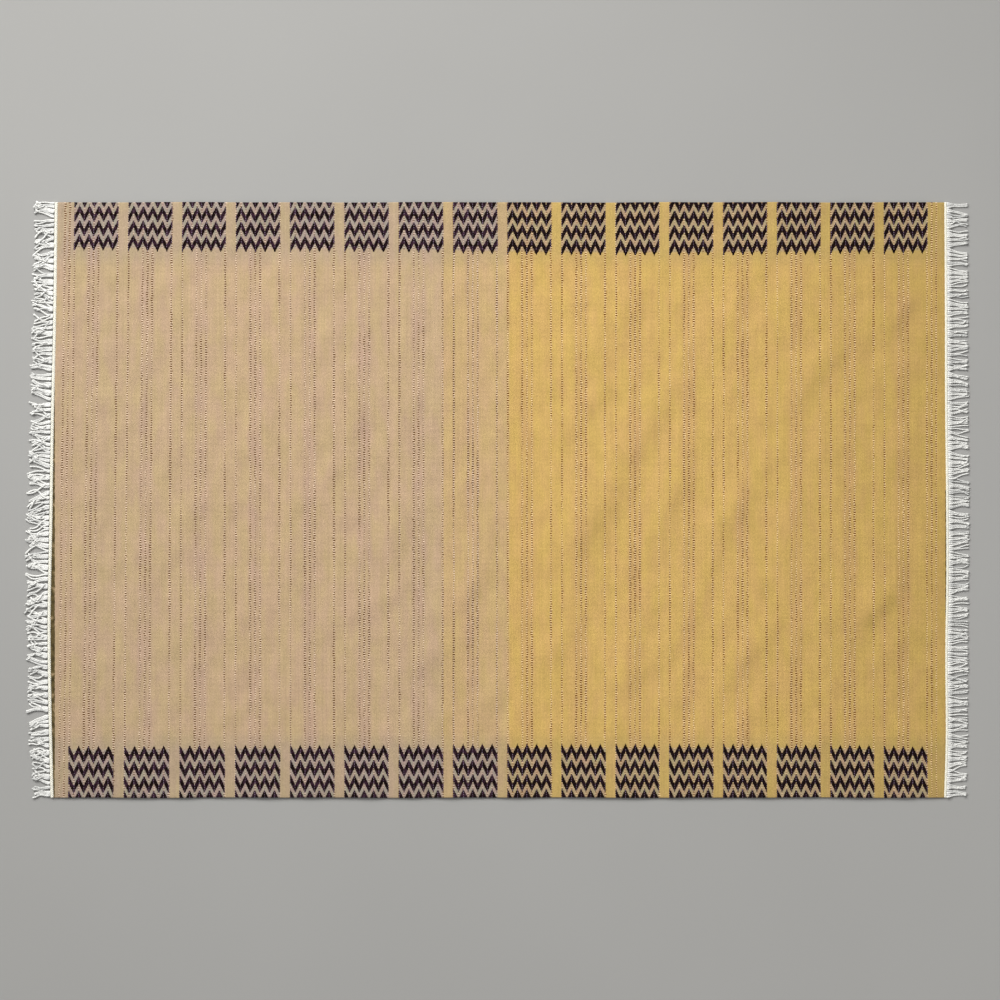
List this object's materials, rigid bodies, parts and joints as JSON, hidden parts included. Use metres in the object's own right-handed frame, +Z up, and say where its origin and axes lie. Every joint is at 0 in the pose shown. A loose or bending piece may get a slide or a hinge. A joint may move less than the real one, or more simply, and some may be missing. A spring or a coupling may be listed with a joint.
{
  "type": "handwoven rug",
  "caption": "Flat handwoven rug with zigzag blocks along both long sides, dotted weft lines across the field, and a corded white warp fringe at each end.",
  "frame": {"origin": "middle of the woven field's underside, on the floor", "axes": "+X along the warp towards the evenly cut fringe, +Y along the weft, +Z up from the floor through the rug's thickness"},
  "size_m": [1.9028, 1.2, 0.004],
  "materials": {
    "weave": "matte weft-faced wool in beige to mustard with dark brown figures",
    "warp_cotton": "matte off-white plied cotton yarn"
  },
  "bodies": {
    "root": {"rug_field": "weave", "fringe_left": "warp_cotton", "fringe_right": "warp_cotton"}
  },
  "joints": []
}
